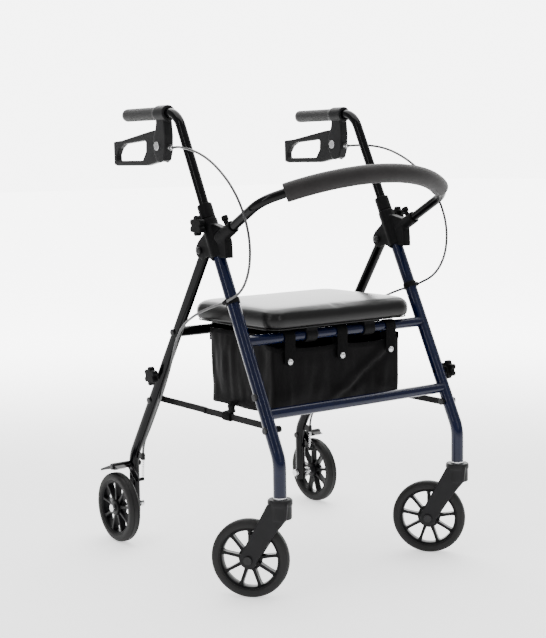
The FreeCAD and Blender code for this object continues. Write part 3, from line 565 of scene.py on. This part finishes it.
HUB = ((-12.0, 5.2), (-12.0, 15.2), (-11.4, 16.4), (-10.0, 17.0), (10.0, 17.0), (11.4, 16.4),
       (12.0, 15.2), (12.0, 5.2), (11.0, 5.1), (-11.0, 5.1))
WEB = ((-2.0, 16.0), (-2.0, 22.0), (-1.2, 23.6), (0.0, 24.0), (1.2, 23.6), (2.0, 22.0),
       (2.0, 16.0))


def wheel_place(centre, axle):
    """Matrix that turns millimetres about local X into a wheel at centre."""
    x = Vector(axle).normalized()
    z = Vector((0, 0, 1))
    y = z.cross(x)
    turn = Matrix((x, y, z)).transposed().to_4x4()
    return Matrix.Translation(centre) @ turn @ Matrix.Scale(0.001, 4)


def spoke(matrix, angle):
    """Tapered blade from hub to rim with chamfered edges."""
    stations = ((15.0, 4.6, 7.6), (20.0, 3.7, 7.6), (28.0, 3.1, 7.3), (46.0, 2.9, 7.2),
                (52.5, 3.5, 7.6), (56.0, 5.4, 8.2))     # radius, half breadth, half width
    c = 1.0               # chamfer
    verts = []
    for radius, half_t, half_w in stations:
        outline = [(-half_w, -half_t + c), (-half_w + c, -half_t), (half_w - c, -half_t),
                   (half_w, -half_t + c), (half_w, half_t - c), (half_w - c, half_t),
                   (-half_w + c, half_t), (-half_w, half_t - c)]
        for x, t in outline:
            y = t * math.cos(angle) - radius * math.sin(angle)
            z = t * math.sin(angle) + radius * math.cos(angle)
            verts.append(matrix @ Vector((x, y, z)))
    return verts, ring_faces(len(stations), len(outline))


def wheels():
    """Tyre and spoked rim of the two casters and the two rear wheels."""
    trail = Vector((math.cos(CASTER_TURN), math.sin(CASTER_TURN), 0)) * TRAIL
    caster_axle = (-math.sin(CASTER_TURN), math.cos(CASTER_TURN), 0)
    for side, sign in SIDES:
        front = P(sign * SIDE_X + trail.x, trail.y, WHEEL_R)
        rear = P(sign * REAR_WHEEL_X, REAR_AXLE_Y, WHEEL_R)
        for end, centre, axle in (("front", front, caster_axle), ("rear", rear, (1, 0, 0))):
            place = wheel_place(centre, axle)
            which = "%s_%s" % (end, side)
            body = "%s_wheel_%s" % (end, side)
            tyre = mesh_from("tyre_" + which, *lathe(TYRE, place, 160), "tyre_rubber", 40.0)
            finish_piece(tyre, body, "tyre_rubber", "%s_tyre_%s" % (end, side))
            groups = [lathe(RIM, place, 120), lathe(HUB, place, 64), lathe(WEB, place, 64)]
            groups += [spoke(place, 2 * math.pi * i / SPOKES) for i in range(SPOKES)]
            rim = joined("rim_" + which, groups, "rim_plastic")
            finish_piece(rim, body, "rim_plastic", "%s_rim_%s" % (end, side))


# ---- return springs at the rear brakes --------------------------------------------------------
def springs():
    """Coil round a thin inner wire, from the cable stop down to the brake shoe's arm."""
    coil_r = 0.0029
    for side, sign in SIDES:
        low, high = P(sign * SIDE_X, 500.3, 144.0), P(sign * SIDE_X, 497.2, 181.4)
        way = high - low
        a = Vector((1, 0, 0))
        b = way.normalized().cross(a)
        turns, steps = 9, 14
        path = []
        for i in range(turns * steps + 1):
            t = i / (turns * steps)
            angle = 2 * math.pi * turns * t
            around = a * math.cos(angle) + b * math.sin(angle)
            path.append(low + way * t + around * coil_r)
        coil = tube(path, 0.0005, up=way.normalized(), count=8)
        core = tube([low - way * 0.12, low, high, high + way * 0.12], 0.0007,
                    up=Vector((1, 0, 0)), count=10)
        obj = joined("brake_spring_" + side, [coil, core], "zinc_steel", 60.0)
        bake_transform(obj)
        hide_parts("brake_springs")


# ---- padded pieces ----------------------------------------------------------------------------
def swell(obj, voxel, pressure, cap):
    """Blows a closed mesh up like a stuffed cover, no point moving further than cap."""
    remesh = obj.modifiers.new("remesh", "REMESH")
    remesh.mode = "VOXEL"
    remesh.voxel_size = voxel
    baked(obj)
    before = [v.co.copy() for v in obj.data.vertices]
    cloth = obj.modifiers.new("cloth", "CLOTH")
    cloth.settings.quality = 6
    cloth.settings.mass = 0.3
    cloth.settings.tension_stiffness = 40.0
    cloth.settings.compression_stiffness = 40.0
    cloth.settings.bending_stiffness = 4.0
    cloth.settings.use_pressure = True
    cloth.settings.uniform_pressure_force = pressure
    cloth.settings.effector_weights.gravity = 0.0
    cloth.collision_settings.use_collision = False
    for f in range(1, 21):
        bpy.context.scene.frame_set(f)
    baked(obj)
    for v, old in zip(obj.data.vertices, before):
        step = v.co - old
        if step.length > cap:
            v.co = old + step * (cap / step.length)
    return obj


SEAT_HALF = 188.6
SEAT_MID_Y = 223.0
SEAT_DEEP = 145.6         # half of its depth
SEAT_CORNER = 34.0


def rounded_rect(hx, hy, corner, per_side, per_corner):
    """Points round a rectangle with round corners, centred on the origin."""
    pts = []
    for cx, cy, start in ((hx - corner, hy - corner, 0), (-hx + corner, hy - corner, 90),
                          (-hx + corner, -hy + corner, 180), (hx - corner, -hy + corner, 270)):
        for k in range(per_corner + 1):
            a = math.radians(start + 90 * k / per_corner)
            pts.append((cx + corner * math.cos(a), cy + corner * math.sin(a)))
    out = []
    for i, p in enumerate(pts):
        q = pts[(i + 1) % len(pts)]
        out.append(p)
        if (i + 1) % (per_corner + 1) == 0:
            for k in range(1, per_side):
                u = k / per_side
                out.append((p[0] + (q[0] - p[0]) * u, p[1] + (q[1] - p[1]) * u))
    return out


def seat():
    """Padded vinyl cushion wrapped over its board, with the cover and welt underneath."""
    # inset from the outline and height, from the underside over the side to the crown
    rings = ((9.0, 500.2), (5.0, 500.6), (2.4, 502.6), (1.0, 506.0), (0.2, 512.0), (0.0, 518.0),
             (0.8, 524.0), (3.2, 529.2), (7.5, 532.8), (14.0, 535.2), (26.0, 536.9),
             (46.0, 538.2), (75.0, 539.2), (105.0, 539.8), (130.0, 540.0))
    verts = []
    count = 0
    for inset, z in rings:
        corner = max(SEAT_CORNER - inset * 0.75, 4.0)
        loop = rounded_rect(SEAT_HALF - inset, SEAT_DEEP - inset, corner, 14, 10)
        count = len(loop)
        verts += [P(x, SEAT_MID_Y + y, z) for x, y in loop]
    obj = mesh_from("seat_cushion", verts, ring_faces(len(rings), count), "seat_vinyl", 60.0)
    swell(obj, 0.0045, 4.0, 0.004)
    for v in obj.data.vertices:
        p = v.co * 1000 - SHIFT
        # the vinyl gathers in short creases where it is pulled round the corners
        dx = abs(p.x) - (SEAT_HALF - SEAT_CORNER)
        dy = abs(p.y - SEAT_MID_Y) - (SEAT_DEEP - SEAT_CORNER)
        if dx > 0 and dy > 0 and p.z < 522:
            angle = math.atan2(dy, dx)
            fade = min(1.0, (522 - p.z) / 14)
            push = 0.0005 * math.sin(angle * 22) * fade
            out = Vector((math.copysign(math.cos(angle), p.x),
                          math.copysign(math.sin(angle), p.y - SEAT_MID_Y), 0))
            v.co += out * push
    extra = obj.modifiers.new("subdivide", "SUBSURF")
    extra.levels = extra.render_levels = 1
    baked(obj)
    obj.data.materials.clear()
    obj.data.materials.append(MATS["seat_vinyl"])
    smooth(obj, 80.0)
    finish_piece(obj, "seat", "seat_vinyl", "seat_pad", "seat_board")
    # thin cover under the board, where the vinyl is turned in and stapled
    levels = ((14.0, 500.9), (12.4, 500.3), (12.4, 499.4), (13.4, 498.9))   # inset, height
    verts = []
    for inset, z in levels:
        loop = rounded_rect(SEAT_HALF - inset, SEAT_DEEP - inset, 26.0, 10, 8)
        verts += [P(x, SEAT_MID_Y + y, z) for x, y in loop]
    under = mesh_from("seat_underside", verts, ring_faces(len(levels), len(loop)),
                      "seat_board_black")
    finish_piece(under, "seat", "seat_board_black")
    path = [P(x, SEAT_MID_Y + y, 499.9)
            for x, y in rounded_rect(SEAT_HALF - 8.0, SEAT_DEEP - 8.0, 29.0, 20, 12)]
    path.append(path[0])
    welt = mesh_from("seat_welt", *tube(path, 0.0013, count=10), "seat_vinyl", 60.0)
    finish_piece(welt, "seat", "seat_vinyl")


BACK_TILT = math.radians(28.8)


def back_point(x, w):
    """Point of the sloping plane that the backrest's tube lies in, w forward of its ends."""
    return P(x, 150.0 - w * math.cos(BACK_TILT), 693.0 + w * math.sin(BACK_TILT))


def backrest():
    """Foam sleeve bent round the backrest's arc, its ends tucked in to the tube."""
    radius, depth, half = 317.0, 221.0, 197.0     # of the arc, of its middle, of the sleeve
    end = math.asin(half / radius)
    normal = Vector((0, math.sin(BACK_TILT), math.cos(BACK_TILT)))
    steps = 120
    verts = []
    count = 40
    rim = ((0.0, 0.52), (0.0, 0.90), (0.0007, 0.965), (0.002, 0.995), (0.004, 1.0))
    stations = [(-end + d / (radius / 1000), s) for d, s in rim]
    stations += [(-end + 2 * end * k / steps, 1.0) for k in range(2, steps - 1)]
    stations += [(end - d / (radius / 1000), s) for d, s in reversed(rim)]
    for angle, scale in stations:
        x = radius * math.sin(angle)
        w = depth - radius + radius * math.cos(angle)
        centre = back_point(x, w)
        tip = back_point(x * 1.01, depth - radius + (w - depth + radius) * 1.01)
        out = (tip - centre).normalized()
        for k in range(count):
            t = 2 * math.pi * k / count
            spot = Vector((angle * 14, math.cos(t) * 1.4, math.sin(t) * 1.4))
            dent = 1.0 + 0.012 * noise.noise(spot)
            # the foam sleeve is slit along its lower front and closed again
            near = abs((t - math.radians(222) + math.pi) % (2 * math.pi) - math.pi)
            dent -= 0.022 * math.exp(-(near / 0.06) ** 2)
            r = 0.0185 * scale * dent
            verts.append(centre + out * (r * math.cos(t)) + normal * (r * math.sin(t)))
    obj = mesh_from("backrest_foam", verts, ring_faces(len(stations), count), "foam", 50.0)
    finish_piece(obj, "backrest", "foam", "backrest_pad")


def grips():
    """Ribbed foam grips with a flared collar at the brake and a closed outer end."""
    rib, groove = 13.55, 13.15
    for side, sign in SIDES:
        profile = [(395.4, 10.2), (395.4, 14.4), (396.2, 15.1), (399.6, 15.1), (401.2, 14.6),
                   (402.2, 13.6)]
        y = 403.0
        while y < 512.0:
            profile += [(y, rib), (y + 1.6, rib), (y + 2.0, groove), (y + 2.8, groove), (y + 3.2, rib)]
            y += 4.6
        profile += [(516.0, 13.5), (521.0, 13.4), (522.9, 12.9), (523.7, 11.6), (523.8, 9.0),
                    (523.8, 0.05), (404.0, 0.05)]
        along_y = Matrix.Rotation(math.pi / 2, 4, "Z") @ Matrix.Scale(0.001, 4)
        place = Matrix.Translation(P(sign * SIDE_X, 0.0, GRIP_Z)) @ along_y
        obj = mesh_from("grip_foam_" + side, *lathe(profile, place, 48), "grip_foam", 40.0)
        finish_piece(obj, "handle_" + side, "foam", "grip_" + side)


# ---- bag --------------------------------------------------------------------------------------
BAG_HALF = 165.0
BAG_Y0 = 103.5
BAG_Y1 = 328.0
STRAP_X = (-130.0, 3.0, 133.0)


def bag_rim(x, y):
    """Height of the bag's rim: it sags between the front straps and rises to the back bar."""
    side = min(1.0, max(0.0, (y + (BAG_Y1 - BAG_Y0) / 2 - 14.0) / 34.0))
    side = side * side * (3 - 2 * side)
    nearest = min(abs(x - s) for s in STRAP_X)
    sag = 5.0 * (1.0 - math.exp(-(nearest / 24.0) ** 2)) + 0.022 * (x + 120.0)
    corner = min(1.0, max(0.0, abs(x) - 146.0) / 18.0) ** 2
    front = 461.0 - sag * (1 - corner) + 4.0 * corner
    return front + (484.0 - front) * side


def bag_shape(i, v):
    """Point of the bag's wall: i counts round it, v runs from the floor to the rim."""
    x, y = BAG_LOOP[i % len(BAG_LOOP)]
    out = BAG_OUT[i % len(BAG_LOOP)]
    mid_y = (BAG_Y0 + BAG_Y1) / 2
    z = 330.0 + (bag_rim(x, y) - 330.0) * v
    px, py = x * (1.0 - 0.012 * (1 - v)), y * (1.0 - 0.012 * (1 - v))
    # the walls belly out a little and hang in soft upright folds
    belly = math.sin(math.pi * min(1.0, v * 1.05)) * 2.2
    fold = noise.noise(Vector((px * 0.021, py * 0.021, z * 0.006))) * 5.0
    fold += noise.noise(Vector((px * 0.06, py * 0.06, z * 0.017 + 9))) * 2.2
    push = (belly + fold) * min(1.0, v * 5.0) * (1.0 - 0.8 * max(0.0, v - 0.75) / 0.25)
    if out[1] < -0.9:
        # a long crease runs from low in the middle up to the right-hand snap
        line = (z - 353.0) - 0.64 * (px + 11.0)
        along = min(1.0, max(0.0, (px + 40.0) / 50.0)) * min(1.0, max(0.0, (150.0 - px) / 30.0))
        push += 4.6 * math.exp(-(line / 11.0) ** 2) * along
        push -= 2.0 * math.exp(-((line + 17.0) / 10.0) ** 2) * along
        # an upright pleat hangs under the left-hand snap
        push += 2.4 / (1 + math.exp((abs(px + 136.0) - 13.0) / 1.2)) * min(1.0, (1 - v) * 6)
    push = max(-5.0, min(5.0, push))
    return P(px + out[0] * push, mid_y + py + out[1] * push, z)


BAG_LOOP = rounded_rect(BAG_HALF, (BAG_Y1 - BAG_Y0) / 2, 9.0, 60, 6)


def outward(loop):
    """Unit normal of a closed outline at each of its points."""
    out = []
    for i in range(len(loop)):
        (ax, ay), (bx, by) = loop[i - 1], loop[(i + 1) % len(loop)]
        length = math.hypot(bx - ax, by - ay)
        out.append(((by - ay) / length, (ax - bx) / length))
    return out


BAG_OUT = outward(BAG_LOOP)


def bag():
    """Sewn shell with a sagging floor and a bound rim."""
    count = len(BAG_LOOP)
    levels = 34
    verts = []
    for j in range(levels + 1):
        v = j / levels
        verts += [bag_shape(i, v) for i in range(count)]
    faces = ring_faces(levels + 1, count, caps=False)
    # floor: rings drawn in towards the middle, sagging a little
    mid = sum((verts[i] for i in range(count)), Vector()) / count
    base = 0
    for share, drop in ((0.985, 0.0012), (0.9, 0.002), (0.7, 0.0035), (0.45, 0.0045), (0.2, 0.005)):
        start = len(verts)
        for i in range(count):
            p = mid + (verts[i] - mid) * share
            ripple = noise.noise(p * 30) * 0.0015
            verts.append(Vector((p.x, p.y, verts[i].z - drop + ripple)))
        for i in range(count):
            j = (i + 1) % count
            faces.append((base + j, base + i, start + i, start + j))
        base = start
    faces.append(tuple(base + i for i in range(count))[::-1])
    obj = mesh_from("bag_shell", verts, faces, "bag_nylon", 60.0)
    skin = obj.modifiers.new("skin", "SOLIDIFY")
    skin.thickness = 0.0012
    skin.offset = 0.0
    baked(obj)
    obj.data.materials.clear()
    obj.data.materials.append(MATS["bag_nylon"])
    smooth(obj, 60.0)
    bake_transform(obj)
    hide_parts("bag")
    rim = [bag_shape(i, 1.0) for i in range(count)]
    rim.append(rim[0])
    path = [p + Vector((0, 0, -0.004)) for p in rim]
    hem = []
    section = ((-0.0012, -0.0045), (0.0012, -0.0045), (0.0016, -0.003), (0.0016, 0.003),
               (0.0008, 0.0048), (-0.0008, 0.0048), (-0.0016, 0.003), (-0.0016, -0.003))
    for p, across, _ in frames_along(path, Vector((0, 0, 1))):
        hem += [p + across * out + Vector((0, 0, rise)) for out, rise in section]
    binding = mesh_from("bag_hem", hem, ring_faces(len(path), len(section)), "webbing", 50.0)
    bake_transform(binding)


def strap_path(bar_y, bar_z, front_low, back_low, reach, toward):
    """(y, z) points of a strap hung over a bar: up its outer face, over it and down behind."""
    wrap = 12.3
    pts = [(bar_y + toward * reach, front_low), (bar_y + toward * (reach * 0.98), front_low + 12)]
    for k in range(13):
        a = math.radians(-10 + 200 * k / 12)
        pts.append((bar_y + toward * wrap * math.cos(a), bar_z + wrap * math.sin(a)))
    pts.append((bar_y - toward * wrap * 0.6, back_low + 10))
    pts.append((bar_y - toward * wrap * 0.2, back_low))
    return pts


def straps():
    """Straps over the two bars, and the press studs that close the front ones."""
    across = Vector((1, 0, 0))
    front = front_y(UPPER_BAR_Z)
    # end, body, bar, lower ends of the outer and the inner tail, how far the outer tail reaches
    ends = (("front", "front_frame", front, UPPER_BAR_Z, 428.0, 455.0, front - 95.5, -1),
            ("rear", "rear_frame", rear_y(REAR_BAR_Z), REAR_BAR_Z, 452.0, 450.0, 14.0, 1))
    for end, body, y, z, outer_low, inner_low, reach, toward in ends:
        groups = []
        for x in STRAP_X:
            pts = strap_path(y, z, outer_low, inner_low, reach, toward)
            path = [P(x, py, pz) for py, pz in pts]
            groups.append(ribbon(path, 0.026, 0.0016, across))
        obj = joined("bag_straps_" + end, groups, "webbing", 50.0)
        finish_piece(obj, body, "bag_nylon", "bag_straps")
    dome = [(-0.5, 0.05), (-0.5, 6.2), (0.4, 6.2), (0.9, 5.6), (0.7, 4.9), (1.5, 4.4), (2.4, 3.2),
            (2.9, 1.6), (3.0, 0.05)]
    along_y = Matrix.Rotation(-math.pi / 2, 4, "Z") @ Matrix.Scale(0.001, 4)
    snaps = [lathe(dome, Matrix.Translation(P(x, 94.6, 433.0)) @ along_y, 28) for x in STRAP_X]
    obj = joined("bag_snaps", snaps, "zinc_steel", 60.0)
    finish_piece(obj, "front_frame", "zinc_steel")


def side_loops():
    """Webbing from the bag's lower sides round the folding braces."""
    y = BRACE_LOOP_Y
    # the tail from the bag, then the turn round the brace and back up to the tail
    points = ((160.0, 243.0, 338.0), (172.0, 240.0, 334.0), (186.0, 222.0, 331.5),
              (199.0, 200.0, 330.2), (206.0, 194.0, 329.8), (211.0, y, 329.8), (217.5, y, 329.0),
              (219.3, y, 326.0), (219.3, y, 316.0), (217.5, y, 313.4), (209.5, y, 313.4),
              (207.7, y, 316.0), (207.7, y, 326.0), (208.4, y, 328.8))
    for side, sign in SIDES:
        path = [P(sign * px, py, pz) for px, py, pz in points]
        obj = joined("bag_side_loop_" + side, [ribbon(path, 0.026, 0.0015, Vector((0, 1, 0)))],
                     "webbing", 50.0)
        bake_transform(obj)


# ---- moulded plastic --------------------------------------------------------------------------
# voxel size in metres and rounds of smoothing for each kind of moulding
SIDE_MOULDINGS = (("frame_bracket_", 0.0013, 5), ("caster_fork_", 0.0013, 8),
                  ("brake_housing_", 0.0011, 4), ("brake_lever_", 0.0011, 4),
                  ("height_knob_", 0.0009, 5), ("leg_knob_rear_", 0.0009, 5),
                  ("backrest_button_", 0.0006, 4), ("brake_shoe_", 0.0010, 3))
SINGLE_MOULDINGS = (("leg_knob_front_right", 0.0009, 5), ("leg_collars", 0.0008, 4),
                    ("seat_hinges", 0.0012, 3))


def mouldings():
    """Soft-edged copies of the moulded plastic pieces."""
    for side in ("left", "right"):
        for stem, voxel, rounds in SIDE_MOULDINGS:
            moulded(stem + side, voxel, rounds)
    for node, voxel, rounds in SINGLE_MOULDINGS:
        moulded(node, voxel, rounds)


stage()
lights()
camera()
cables()
wheels()
springs()
seat()
backrest()
grips()
bag()
straps()
side_loops()
mouldings()
